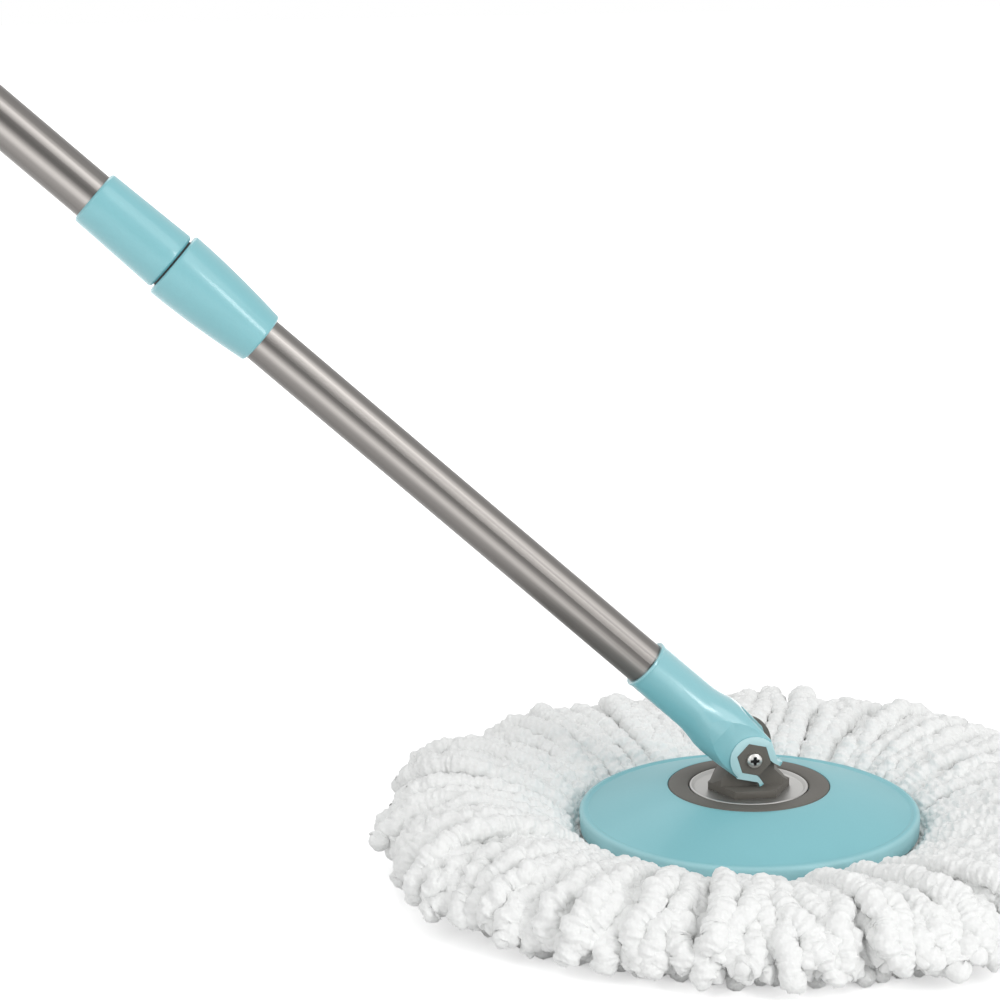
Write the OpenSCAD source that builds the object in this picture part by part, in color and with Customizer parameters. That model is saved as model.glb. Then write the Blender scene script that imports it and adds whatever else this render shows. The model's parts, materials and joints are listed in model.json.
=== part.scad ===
// Spin mop: a round strand head on a turning disc, a clip-on tilting fork
// and a two-part steel handle with a twist lock.
// Units are millimetres. The floor is z = 0 and the disc's axis is the Z axis.
// The handle leans towards -X, and its own pieces are drawn along their own +Z.

/* [Head] */
// Outer radius of the strand head
head_r = 165; // [140:1:190]
// Height of the strands at their fullest
strand_h = 38; // [32:0.5:42]
// Thickness of the strand mat under the plate
mat_t = 10.6; // [8:0.2:12]
// Outer radius of the disc's rolled rim
disc_r = 80.2; // [70:0.2:90]
// Height of the trim ring's top above the floor
ring_z = 36; // [34:0.5:44]
// Drop of the dome from the trim ring to the rim
dome_drop = 11.6; // [8:0.2:13]
// Depth of the skirt below the rim
skirt_h = 8; // [5:0.2:10]
// Wall of the disc
disc_wall = 2.2; // [1.6:0.1:3]
// Number of stiffening ribs under the disc
rib_count = 12; // [6:1:18]
// Thickness of each stiffening rib
rib_t = 1.6; // [1.2:0.1:2.4]

/* [Trim ring and dish] */
// Outer radius of the trim ring
ring_r = 38; // [34:0.5:44]
// Outer radius of the bright dish
dish_r = 28; // [25:0.5:30]
// Thickness of the dish's floor
dish_t = 1.2; // [0.8:0.1:1.6]
// Depth of the dish below the top of the trim ring
dish_depth = 1.6; // [1:0.1:2]

/* [Head bearing] */
// Radius of the knuckle's stem and of the bearing's bore
stem_r = 7.5; // [6:0.5:8]
// Outer radius of the bearing
bearing_r = 16; // [15:0.5:18]
// Width of the bearing
bearing_w = 9; // [8:0.5:9.5]
// Radius of the bearing's balls
ball_r = 2.3; // [1.8:0.1:2.5]
// Number of balls
ball_count = 9; // [7:1:10]
// Number of screws that hold the bearing retainer
retainer_screw_count = 3; // [3:1:6]

/* [Knuckle and hinge] */
// Height of the hinge axis above the trim ring
hinge_h = 16; // [15.6:0.1:20]
// Lean of the handle from upright at rest
lean = 47.4; // [30:0.1:80]
// Across-corner radius of the knuckle's hexagonal foot
foot_r = 19.5; // [17.5:0.5:21]
// Height of the foot above the trim ring
foot_h = 2; // [1.2:0.1:2.2]
// Radius of the round top of the knuckle's tongue
tongue_r = 10.5; // [9:0.1:11]
// Thickness of the tongue between the ears
tongue_t = 16.4; // [12:0.2:18]
// Radius of the hinge pin
pin_r = 4; // [3:0.1:5]
// Across-corner radius of the hexagonal keys on the pin
key_r = 8.2; // [7.5:0.1:8.6]
// Radius of the pin's round cap
cap_r = 13.4; // [11:0.1:13.5]
// Thickness of the pin's round cap
cap_t = 3; // [2:0.1:5]
// Radius of the hinge screw's head
screw_head_r = 3.7; // [3:0.1:4.5]

/* [Fork] */
// Wall of the C-shaped ears round the keys
ear_wall = 3.2; // [2.4:0.1:3.8]
// Thickness of each ear
ear_t = 4.6; // [3.5:0.1:6]
// Width of the neck of the ears' mouth
neck_w = 9.6; // [8:0.1:10.4]
// Reach of the ears' lips beyond the hinge axis
lip_reach = 11.4; // [10:0.1:11.6]
// Distance from the hinge axis to the outer corners of the crotch between the ears
crotch = 17; // [16:0.5:19]
// Radius of the fork's socket
socket_r = 12; // [11.6:0.1:13]
// Half width of the fork's shoulder
shoulder_r = 13.7; // [13.2:0.1:15]
// Distance from the hinge axis to the socket's rim
socket_end = 67; // [60:0.5:75]
// Depth of the lower tube in the socket
socket_depth = 34; // [25:0.5:38]

/* [Tubes] */
// Outer radius of the lower tube
low_r = 10.5; // [9:0.1:11]
// Outer radius of the upper tube
up_r = 11.1; // [9.6:0.1:12]
// Wall of both tubes
tube_wall = 0.4; // [0.3:0.05:0.5]
// Length of the upper tube
up_len = 790; // [760:1:900]
// Travel of the telescoping handle
travel = 330; // [200:5:340]
// Length of the lower tube still inside the upper one at full reach
overlap = 50; // [40:1:80]

/* [Twist lock] */
// Distance from the hinge axis to the lower end of the lock nut
nut_start = 300; // [260:1:340]
// Length of the lock nut
nut_len = 51; // [46:0.5:60]
// Largest radius of the lock nut
nut_r = 16; // [15:0.1:18]
// Radius of the lock nut at its lower end
nut_tip_r = 12.4; // [12:0.1:13.5]
// Gap between the lock nut and the collar
lock_gap = 0.8; // [0.5:0.1:1.5]
// Length of the collar
collar_len = 44; // [38:0.5:52]
// Radius of the collar at its lower end
collar_r = 14.2; // [13.6:0.1:15.5]
// Radius of the collar at its upper end
collar_top_r = 13.1; // [12.8:0.1:14]
// Wall of the collet inside the nut
collet_wall = 1.6; // [1.2:0.1:2]
// Number of slits between the collet's jaws
slit_count = 6; // [4:1:8]
// Width of each slit
slit_w = 1.2; // [0.8:0.1:1.6]

/* [Grip] */
// Length of the hand grip
grip_len = 140; // [110:1:180]
// Radius of the hand grip
grip_r = 14.6; // [13.5:0.1:17]
// Number of finger rings round the grip
grip_rings = 8; // [4:1:12]
// Height of each finger ring
ring_bump = 0.7; // [0.3:0.1:1]
// Radius of the hanging hole
hang_r = 5.5; // [4:0.5:7]
// Thickness of the hanging eye
eye_t = 11; // [8:0.5:14]
// Wall of the hanging eye round its hole
eye_wall = 5.5; // [4:0.5:7]

/* [Hidden] */
$fn = 96;

slack = 0.3;        // gap round soft parts and beside turning faces
fit = 0.05;         // radial clearance of a running or seated fit
eps = 0.01;         // overshoot of a cut past a face

// Heights of the head's pieces
dome_edge_r = ring_r + slack;
rim_w = 4.3;
dome_foot_r = disc_r - rim_w;
ring_proud = 0.3;
rim_sink = 0.7;
rim_z = ring_z - dome_drop - rim_sink;
rim_round = 2;
skirt_z = rim_z - skirt_h;
trim_t = 3;
seat_z = ring_z - trim_t;
seat_inner_r = bearing_r + 9;
dish_floor_z = ring_z - dish_depth;
dish_under_z = dish_floor_z - dish_t;
well_depth = 3;
bearing_top_z = seat_z - well_depth;
bearing_z = bearing_top_z - bearing_w;
screw_room = 4;
hub_z = bearing_z - screw_room;
hub_wall = 3.2;
hub_hole_r = bearing_r - 3;
race_t = 2.5;
ball_clear = 0.15;
ball_pitch_r = (stem_r + bearing_r) / 2;
ball_z = bearing_z + bearing_w / 2;
retainer_t = 1.5;
retainer_r = seat_inner_r - slack;
retainer_screw_r = bearing_r + 5;
screw_core_r = 1.4;
plate_t = 3;
plate_inner_r = 34;
plate_z = mat_t + slack;
snap_rim_r = disc_r - disc_wall - slack;
snap_rim_t = 2;
washer_t = 1.5;
washer_r = stem_r + 3.4;
stem_screw_r = 2.5;
stem_head_r = 5;
stem_head_t = 2.3;
cap_plate_t = 1.5;

// Places on the hinge
hinge_z = ring_z + hinge_h;
ear_in = tongue_t / 2 + slack;
ear_out = ear_in + ear_t;
hex_hole_r = key_r + 0.1;
ear_r = hex_hole_r + ear_wall / cos(30);
ear_step = 1.3;
cheek_y = ear_out - ear_step;
cheek_a = 6;
rim_in = 0.8;
lip_t = 2.2;
lip_bend = 1.8;
lip_flare = 0.9;
shoulder_a = crotch + 3;
corner_r = ear_out + 3.3;
blend_below = 8;
blend_len = 27;
blend_steps = 9;
bead_len = 1.3;
bead_h = 0.3;
slot_bow = 3;
bow_r = (ear_in * ear_in + slot_bow * slot_bow) / (2 * slot_bow);
key_bore_r = pin_r - 0.8;
spigot_y = 1 - ear_out;
screw_shank_r = 1.5;
screw_over = 4;

// Places along the handle, measured from the hinge axis
tube_start = socket_end - socket_depth;
nut_end = nut_start + nut_len;
collar_start = nut_end + lock_gap;
collar_end = collar_start + collar_len;
collar_stop = 8;
up_start = collar_start + collar_stop;
up_end = up_start + up_len;
tube_top = up_start + travel + overlap;
collet_start = nut_start + 7;
collet_r = low_r + fit + collet_wall;
collet_taper = 11;
grip_end = up_end - 12;
grip_start = grip_end - grip_len;
eye_a = up_end + eye_wall + hang_r + 4;
spigot_len = 24;
screw_a = 12;

// Puts a piece drawn along +Z at the hinge and leans it as the handle leans
module on_handle() {
    translate([0, 0, hinge_z]) rotate([0, -lean, 0]) children();
}

// A ring between two radii and two heights
module ring(r_in, r_out, z0, z1) {
    difference() {
        translate([0, 0, z0]) cylinder(r = r_out, h = z1 - z0);
        translate([0, 0, z0 - eps]) cylinder(r = r_in, h = z1 - z0 + 2 * eps);
    }
}

// Copies of a piece evenly round the Z axis at a radius
module around(count, r) {
    for (i = [0:count - 1]) {
        rotate([0, 0, i * 360 / count]) translate([r, 0, 0]) children();
    }
}

// A pan head screw: shank up from z = 0, head below it
module pan_screw(shank_r, shank_len, head_r, head_t) {
    rotate_extrude() {
        polygon([
            [0, -head_t], [head_r * 0.6, -head_t], [head_r * 0.92, -head_t * 0.7],
            [head_r, -head_t * 0.3], [head_r, 0], [shank_r, 0],
            [shank_r, shank_len - shank_r], [0.2, shank_len], [0, shank_len]
        ]);
    }
}

// A cross recess for a screwdriver, cut upwards from z = 0
module cross_recess(size, depth) {
    arm_w = 0.3 * size;
    for (turn = [0, 90]) {
        rotate([0, 0, turn]) translate([-size / 2, -arm_w / 2, -eps]) cube([size, arm_w, depth]);
    }
}

// ---------------------------------------------------------------- head

// Height of the dome at radius r: flat by the ring, steeper to the rim
function dome_z(r) = ring_z - ring_proud
    - dome_drop * pow((r - dome_edge_r) / (dome_foot_r - dome_edge_r), 1.3);
dome_steps = 16;
dome_radii = [for (i = [0:dome_steps]) dome_edge_r + (dome_foot_r - dome_edge_r) * i / dome_steps];

// Outer line of the disc from the ring to the skirt's foot
function disc_outer() = concat(
    [for (r = dome_radii) [r, dome_z(r)]],
    [[dome_foot_r + 0.7, rim_z + 0.6], [dome_foot_r + 1.6, rim_z + 1.1]],
    [for (a = [75:-25:0]) [disc_r - rim_round + rim_round * cos(a), rim_z - 1 + rim_round * sin(a)]],
    [[disc_r - 0.3, skirt_z]]
);

// The soft strand head: a flat mat under the plate, and round it a crown that falls to the floor
module mop_strands() {
    skirt_clear = disc_r + 2 * slack;
    inner_z = 15;
    tip_z = 14;
    tip_in = 12;
    crown_r = head_r - 34;
    fall_r = head_r - crown_r;
    color("white") rotate_extrude() {
        polygon(concat(
            [[0, 0]],
            [for (a = [90:-30:30]) [head_r - tip_in * (1 - cos(a)), tip_z * (1 - sin(a))]],
            [for (a = [0:15:90]) [crown_r + fall_r * cos(a), tip_z + (strand_h - tip_z) * sin(a)]],
            [for (a = [75:-15:0]) [
                crown_r - (crown_r - skirt_clear) * cos(a), inner_z + (strand_h - inner_z) * sin(a)
            ]],
            [[skirt_clear, mat_t], [0, mat_t]]
        ));
    }
}

// The plate that the strands are sewn to, with a rim that snaps into the disc
module strand_ring() {
    color("ghostwhite") {
        difference() {
            union() {
                ring(plate_inner_r, disc_r - 1, plate_z, plate_z + plate_t);
                ring(snap_rim_r - snap_rim_t, snap_rim_r, plate_z, skirt_z + 5);
                ring(plate_inner_r, plate_inner_r + 2, plate_z, plate_z + plate_t + 2);
            }
            around(24, (plate_inner_r + snap_rim_r) / 2) {
                translate([-12, -1.5, plate_z - eps]) cube([24, 3, plate_t + 3]);
            }
        }
    }
}

// The domed disc, its rolled rim, hub and ribs
module mop_disc() {
    seat_corner_r = dome_edge_r + disc_wall;
    seat_under_z = seat_z - disc_wall;
    rib_z = skirt_z + 6;
    boss_r = 3;
    boss_z = hub_z + 3;
    under = [for (i = [dome_steps:-2:2]) [dome_radii[i], dome_z(dome_radii[i]) - disc_wall]];
    color([0.54, 0.80, 0.82]) {
        difference() {
            union() {
                // shell with the seat for the trim ring
                rotate_extrude() {
                    polygon(concat(
                        [[seat_inner_r - 3, seat_z], [dome_edge_r, seat_z]],
                        disc_outer(),
                        [[disc_r - disc_wall, skirt_z], [disc_r - disc_wall, rim_z - 2]],
                        under,
                        [[seat_corner_r, seat_under_z], [seat_inner_r - 3, seat_under_z]]
                    ));
                }
                // hub round the bearing, with its top flange
                ring(hub_hole_r, bearing_r + hub_wall, hub_z, bearing_top_z);
                ring(bearing_r + 1, seat_inner_r + disc_wall, bearing_top_z - disc_wall, bearing_top_z);
                ring(seat_inner_r, seat_inner_r + disc_wall, bearing_top_z - disc_wall, seat_z);
                around(retainer_screw_count, retainer_screw_r) {
                    translate([0, 0, boss_z]) cylinder(r = boss_r, h = bearing_top_z - boss_z, $fn = 32);
                }
                // ribs between hub and rim, trimmed under the dome
                intersection() {
                    around(rib_count, bearing_r + hub_wall - 1) {
                        translate([0, -rib_t / 2, rib_z]) cube([disc_r, rib_t, ring_z]);
                    }
                    rotate_extrude() {
                        polygon(concat(
                            [[bearing_r + 1, rib_z], [disc_r - disc_wall + eps, rib_z]],
                            [[disc_r - disc_wall + eps, rim_z - 2]],
                            [for (p = under) [p[0], p[1] + eps]],
                            [[seat_corner_r, seat_under_z + eps], [bearing_r + 1, seat_under_z + eps]]
                        ));
                    }
                }
            }
            // open well above the flange and the bearing's own bore
            translate([0, 0, bearing_top_z]) cylinder(r = seat_inner_r, h = ring_z);
            translate([0, 0, bearing_z]) cylinder(r = bearing_r + fit, h = bearing_w + 1);
            translate([0, 0, hub_z - eps]) cylinder(r = hub_hole_r, h = bearing_w);
            around(retainer_screw_count, retainer_screw_r) {
                translate([0, 0, bearing_top_z - 8]) cylinder(r = screw_core_r + fit, h = 9, $fn = 32);
            }
        }
    }
}

// A bearing race with the balls' groove
module race(r_in, r_out) {
    difference() {
        ring(r_in, r_out, bearing_z, bearing_top_z);
        rotate_extrude() translate([ball_pitch_r, ball_z]) circle(r = ball_r + ball_clear, $fn = 48);
    }
}

module bearing_outer_race() {
    color("silver") race(bearing_r - race_t, bearing_r);
}

module bearing_inner_race() {
    color("silver") race(stem_r + fit, stem_r + race_t);
}

module bearing_balls() {
    color("gainsboro") around(ball_count, ball_pitch_r) {
        translate([0, 0, ball_z]) sphere(r = ball_r, $fn = 32);
    }
}

// The cage that spaces the balls
module ball_cage() {
    cage_t = 0.8;
    cage_h = ball_r + cage_t;
    color("goldenrod") difference() {
        ring(ball_pitch_r - cage_t, ball_pitch_r + cage_t, ball_z - cage_h, ball_z + cage_h);
        around(ball_count, ball_pitch_r) {
            translate([-ball_r, 0, ball_z]) rotate([0, 90, 0]) {
                cylinder(r = ball_r + ball_clear, h = 2 * ball_r, $fn = 48);
            }
        }
    }
}

// The plate that holds the bearing down in its well
module bearing_retainer() {
    color("silver") difference() {
        ring(bearing_r - race_t + 1, retainer_r, bearing_top_z, bearing_top_z + retainer_t);
        around(retainer_screw_count, retainer_screw_r) {
            translate([0, 0, bearing_top_z - eps]) {
                cylinder(r = screw_core_r + 2 * fit, h = retainer_t + 1, $fn = 32);
            }
        }
    }
}

module retainer_screws() {
    head_r = 2.6;
    head_t = seat_z - slack - bearing_top_z - retainer_t;
    bite = 7;
    color("silver") around(retainer_screw_count, retainer_screw_r) {
        translate([0, 0, bearing_top_z + retainer_t]) cylinder(r = head_r, h = head_t, $fn = 32);
        translate([0, 0, bearing_top_z - bite]) {
            cylinder(r = screw_core_r, h = retainer_t + bite + eps, $fn = 32);
        }
    }
}

// The matt ring let into the top of the disc
module trim_ring() {
    inner_r = dish_r + slack;
    color([0.40, 0.38, 0.35]) rotate_extrude() {
        polygon([
            [inner_r, seat_z], [ring_r, seat_z], [ring_r, ring_z - 0.5], [ring_r - 0.5, ring_z],
            [inner_r + 1.2, ring_z], [inner_r + 0.3, ring_z - 0.5], [inner_r, ring_z - 1.2]
        ]);
    }
}

// The push-in cap that closes the hub from below
module hub_cap() {
    lip_h = 3;
    cover = 2;
    color([0.54, 0.80, 0.82]) {
        ring(washer_r + slack, hub_hole_r - fit, hub_z - eps, hub_z + lip_h);
        translate([0, 0, hub_z - cap_plate_t]) cylinder(r = hub_hole_r + cover, h = cap_plate_t);
    }
}

// The bright dish that turns with the knuckle and sits on the inner race
module swivel_dish() {
    color("gainsboro") rotate_extrude() {
        polygon([
            [stem_r + fit, bearing_top_z], [stem_r + race_t, bearing_top_z],
            [stem_r + race_t, dish_under_z], [dish_r - 1.5, dish_under_z],
            [dish_r, dish_under_z + 1], [dish_r, ring_z - 0.7], [dish_r - 0.4, ring_z - 0.3],
            [dish_r - 1.1, ring_z - 0.3], [dish_r - 2.4, dish_floor_z], [stem_r + fit, dish_floor_z]
        ]);
    }
}

// Side outline of the knuckle's tongue, drawn in X and Z
module tongue_outline() {
    slope_x = foot_r - 1.5;
    foot_z = ring_z + foot_h;
    slope_z = foot_z + slope_x - tongue_r;
    translate([0, hinge_z]) circle(r = tongue_r);
    polygon([
        [-slope_x, dish_floor_z], [slope_x, dish_floor_z], [slope_x, foot_z], [tongue_r, slope_z],
        [tongue_r, hinge_z], [-tongue_r, hinge_z], [-tongue_r, slope_z], [-slope_x, foot_z]
    ]);
}

// The knuckle: hexagonal foot, round-topped tongue, and stem through the bearing
module knuckle() {
    color([0.40, 0.38, 0.35]) difference() {
        union() {
            translate([0, 0, dish_floor_z]) cylinder(r = foot_r, h = ring_z + foot_h - dish_floor_z, $fn = 6);
            intersection() {
                translate([0, 0, dish_floor_z]) cylinder(r = foot_r, h = 3 * hinge_h, $fn = 6);
                rotate([90, 0, 0]) linear_extrude(tongue_t, center = true) tongue_outline();
            }
            translate([0, 0, bearing_z]) cylinder(r = stem_r, h = dish_floor_z - bearing_z + 1);
        }
        on_pin(-tongue_t) cylinder(r = pin_r + fit, h = 2 * tongue_t);
        translate([0, 0, bearing_z - eps]) cylinder(r = stem_screw_r + fit, h = bearing_w + 3, $fn = 32);
    }
}

module stem_washer() {
    color("silver") ring(stem_screw_r + fit, washer_r, bearing_z - washer_t, bearing_z);
}

// The screw that holds the knuckle's stem in the bearing
module stem_screw() {
    color("silver") difference() {
        translate([0, 0, bearing_z - washer_t]) {
            pan_screw(stem_screw_r, bearing_w + washer_t, stem_head_r, stem_head_t);
        }
        translate([0, 0, bearing_z - washer_t - stem_head_t]) cross_recess(5, 1.6);
    }
}

// --------------------------------------------------------------- hinge

// Side outline of the fork up to its shoulder: x across, y along the handle
module ear_outline() {
    neck = neck_w / 2;
    bend_a = -(hex_hole_r - neck) * tan(60) - lip_bend;
    tip_x = neck + lip_flare;
    difference() {
        union() {
            circle(r = ear_r, $fn = 6);
            intersection() {
                circle(r = ear_r - 0.6);
                translate([-ear_r, 0]) square([2 * ear_r, ear_r]);
            }
            polygon([[-ear_r, 0], [ear_r, 0], [shoulder_r, shoulder_a], [-shoulder_r, shoulder_a]]);
            for (side = [-1, 1]) {
                polygon([
                    [0, -lip_reach], [side * (tip_x + 0.8), -lip_reach],
                    [side * (tip_x + lip_t), 0.5 - lip_reach], [side * (neck + lip_t), bend_a - 1.6],
                    [side * (neck + lip_t), bend_a + lip_bend], [0, bend_a + lip_bend]
                ]);
            }
        }
        circle(r = hex_hole_r, $fn = 6);
        polygon([
            [-neck, 0], [neck, 0], [neck, bend_a], [tip_x + 0.2, -lip_reach - 1],
            [-tip_x - 0.2, -lip_reach - 1], [-neck, bend_a]
        ]);
    }
}

// Turned envelope that rounds the fork from its ears into the round socket
module fork_envelope() {
    lip_a = -2 * lip_reach;
    bead_a = socket_end - bead_len;
    function blend(t) = [
        socket_r + (corner_r - socket_r) * (1 + cos(180 * t)) / 2, crotch - blend_below + blend_len * t
    ];
    rotate_extrude() {
        polygon(concat(
            [[0, lip_a], [corner_r, lip_a]],
            [for (i = [0:blend_steps]) blend(i / blend_steps)],
            [
                [socket_r, bead_a - bead_h], [socket_r + bead_h, bead_a],
                [socket_r + bead_h, socket_end - bead_h], [socket_r, socket_end], [0, socket_end]
            ]
        ));
    }
}

// Slab that thins the fork's cheeks behind the raised rims and leaves the shoulder full
module cheek_slab() {
    foot_a = -3 * lip_reach;
    rotate([90, 0, 90]) linear_extrude(4 * corner_r, center = true) {
        polygon([
            [-cheek_y, foot_a], [cheek_y, foot_a], [cheek_y, cheek_a], [ear_out, shoulder_a],
            [ear_out, socket_end + 1], [-ear_out, socket_end + 1], [-ear_out, shoulder_a],
            [-cheek_y, cheek_a]
        ]);
    }
}

// Raised rim round each key and down the lips
module key_rims() {
    rotate([90, 0, 0]) intersection() {
        linear_extrude(2 * ear_out, center = true) ear_outline();
        union() {
            cylinder(r = ear_r - rim_in, h = 3 * ear_out, center = true);
            translate([0, -ear_r, 0]) cube([3 * ear_r, 2 * ear_r, 3 * ear_out], center = true);
        }
    }
}

// A hole square to the handle at the tube's fixing screw
module screw_hole(r) {
    translate([0, 0, tube_start + screw_a]) rotate([-90, 0, 0]) cylinder(r = r, h = 2 * socket_r, $fn = 32);
}

// Slot between the ears: a hollow round the tongue's top, splayed so that the knuckle's foot
// clears it at full tilt, and bowed from ear to ear
module tongue_slot() {
    far = 3 * crotch;
    hollow_r = tongue_r + 1.2;
    splay_x = tongue_r - 2.5;
    splay_a = tongue_r + 1;
    intersection() {
        rotate([90, 0, 0]) linear_extrude(4 * ear_r, center = true) {
            circle(r = hollow_r);
            polygon([
                [-far, -far], [far, -far], [far, crotch + far - shoulder_r], [shoulder_r, crotch],
                [splay_x, splay_a], [-splay_x, splay_a], [-shoulder_r, crotch],
                [-far, crotch + far - shoulder_r]
            ]);
        }
        rotate([90, 0, 90]) linear_extrude(4 * ear_r, center = true) intersection() {
            translate([-ear_in, -far]) square([2 * ear_in, far + crotch]);
            union() {
                translate([0, crotch - bow_r]) circle(r = bow_r);
                translate([-bow_r, -far]) square([2 * bow_r, far + crotch - slot_bow]);
            }
        }
    }
}

// The clip-on fork: socket for the lower tube, shoulder and two C-shaped ears
module fork() {
    color([0.54, 0.80, 0.82]) on_handle() difference() {
        union() {
            intersection() {
                fork_envelope();
                cheek_slab();
                rotate([90, 0, 0]) linear_extrude(4 * corner_r, center = true) {
                    ear_outline();
                    translate([-shoulder_r, shoulder_a - eps]) square([2 * shoulder_r, socket_end]);
                }
            }
            key_rims();
        }
        tongue_slot();
        translate([0, 0, tube_start]) cylinder(r = low_r + fit, h = socket_depth + 1);
        screw_hole(screw_core_r + 2 * fit);
    }
}

// Puts a piece drawn along +Z on the hinge axis, starting at y and running to +Y
module on_pin(y) {
    translate([0, y, hinge_z]) rotate([-90, 0, 0]) children();
}

// Hexagonal key about the hinge axis, with corners square to the handle
module hex_key(y0, y1) {
    on_handle() translate([0, y0, 0]) rotate([-90, 0, 0]) cylinder(r = key_r, h = y1 - y0, $fn = 6);
}

// The hinge pin: round cap, hexagonal key for the far ear, and shaft
module hinge_pin() {
    cap_y = ear_out + slack;
    color([0.40, 0.38, 0.35]) difference() {
        union() {
            hex_key(ear_in, cap_y);
            on_pin(cap_y - eps) rotate_extrude() {
                polygon([
                    [0, 0], [cap_r, 0], [cap_r, cap_t * 0.5], [cap_r - 0.5, cap_t * 0.8],
                    [cap_r - 1.5, cap_t * 0.95], [cap_r * 0.6, cap_t], [0, cap_t]
                ]);
            }
            on_pin(-ear_in) cylinder(r = pin_r, h = 2 * ear_in + eps);
            on_pin(spigot_y) cylinder(r = key_bore_r, h = ear_out);
        }
        on_pin(-ear_out) cylinder(r = screw_shank_r + fit, h = ear_out + screw_over, $fn = 32);
    }
}

// The near key, pressed on the end of the pin
module hinge_key() {
    color([0.40, 0.38, 0.35]) difference() {
        hex_key(-ear_out, -ear_in);
        on_pin(spigot_y) cylinder(r = key_bore_r + fit, h = ear_t);
        on_pin(-ear_out - eps) cylinder(r = screw_shank_r + fit, h = ear_t, $fn = 32);
    }
}

// The cross-head screw that ties the near key to the pin
module hinge_screw() {
    head_t = 2.2;
    recess_t = 1.5;
    color("gainsboro") on_pin(-ear_out) difference() {
        pan_screw(screw_shank_r, ear_out, screw_head_r, head_t);
        translate([0, 0, -head_t]) cross_recess(1.1 * screw_head_r, recess_t);
    }
}

// -------------------------------------------------------------- handle

// The plug inside the foot of the lower tube
module tube_plug() {
    plug_r = low_r - tube_wall - fit;
    plug_len = 26;
    plug_wall = 3.5;
    floor_t = 4;
    color("dimgray") on_handle() difference() {
        translate([0, 0, tube_start]) cylinder(r = plug_r, h = plug_len);
        translate([0, 0, tube_start + floor_t]) cylinder(r = plug_r - plug_wall, h = plug_len);
        screw_hole(screw_core_r + fit);
    }
}

// The screw at the back of the socket, through tube and plug
module tube_screw() {
    shank_len = 5;
    head_r = 2.8;
    head_t = 1.6;
    color("silver") on_handle() translate([0, socket_r, tube_start + screw_a]) rotate([90, 0, 0]) {
        pan_screw(screw_core_r, shank_len, head_r, head_t);
    }
}

// A thin tube along the handle
module steel_tube(r, from, to) {
    ring(r - tube_wall, r, from, to);
}

module lower_tube() {
    color([0.70, 0.68, 0.66]) on_handle() difference() {
        steel_tube(low_r, tube_start, tube_top);
        screw_hole(screw_core_r + 2 * fit);
    }
}

// The guide on the top end of the lower tube, which slides in the upper tube
module slide_bush() {
    plug_r = low_r - tube_wall - fit;
    bore_r = plug_r - 2.5;
    glide_r = up_r - tube_wall - fit;
    plug_a = tube_top - 20;
    head_a = tube_top + 6;
    edge = 1;
    color("dimgray") on_handle() rotate_extrude() {
        polygon([
            [bore_r, plug_a], [plug_r, plug_a], [plug_r, tube_top], [glide_r, tube_top],
            [glide_r, head_a - edge], [glide_r - edge, head_a], [bore_r, head_a]
        ]);
    }
}

module upper_tube() {
    color([0.70, 0.68, 0.66]) on_handle() steel_tube(up_r, up_start, up_end);
}

// Radius of the lock nut at distance x below its upper end
function nut_radius(x) = nut_r - (nut_r - nut_tip_r) * pow(x / nut_len, 1.8);

// The turning nut, which closes the collet's jaws on the lower tube
module lock_nut() {
    bore_r = collet_r + slack;
    edge = 0.8;
    steps = 15;
    color([0.54, 0.80, 0.82]) on_handle() rotate_extrude() {
        polygon(concat(
            [[bore_r, nut_end], [nut_r - edge, nut_end], [nut_r, nut_end - edge]],
            [for (i = [1:steps - 1]) [nut_radius(i * nut_len / steps), nut_end - i * nut_len / steps]],
            [
                [nut_tip_r + 0.15, nut_start + edge], [nut_tip_r - edge + 0.3, nut_start],
                [low_r + slack, nut_start], [low_r + slack, collet_start - slack],
                [collet_r - 0.5 + slack, collet_start - slack], [bore_r, collet_start + collet_taper]
            ]
        ));
    }
}

// The split collet: a sleeve whose jaws grip the lower tube
module collet() {
    slit_len = 24;
    color([0.30, 0.29, 0.28]) on_handle() difference() {
        rotate_extrude() {
            polygon([
                [low_r + fit, collet_start], [collet_r - 0.5, collet_start],
                [collet_r, collet_start + collet_taper], [collet_r, up_start - fit],
                [low_r + fit, up_start - fit]
            ]);
        }
        around(slit_count, 0) {
            translate([0, -slit_w / 2, collet_start - eps]) cube([2 * collet_r, slit_w, slit_len]);
        }
    }
}

// The collar fixed on the foot of the upper tube
module upper_collar() {
    edge = 1;
    color([0.54, 0.80, 0.82]) on_handle() rotate_extrude() {
        polygon([
            [collet_r + fit, collar_start], [collar_r - edge, collar_start],
            [collar_r, collar_start + edge], [collar_top_r + 0.05, collar_end - edge],
            [collar_top_r - edge, collar_end], [up_r + fit, collar_end], [up_r + fit, up_start],
            [collet_r + fit, up_start]
        ]);
    }
}

// The hand grip with its finger rings
module grip() {
    plain = 12;
    edge = 1;
    pitch = (grip_len - 2 * plain) / grip_rings;
    steps = 8;
    bumps = [
        for (i = [0:grip_rings * steps - 1])
            [grip_r + ring_bump * (1 - cos(i * 360 / steps)) / 2, grip_start + plain + i * pitch / steps]
    ];
    color([0.54, 0.80, 0.82]) on_handle() rotate_extrude() {
        polygon(concat(
            [[up_r + fit, grip_start], [grip_r - edge, grip_start], [grip_r, grip_start + edge]],
            bumps,
            [[grip_r, grip_end - plain], [grip_r, grip_end], [up_r + fit, grip_end]]
        ));
    }
}

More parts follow.
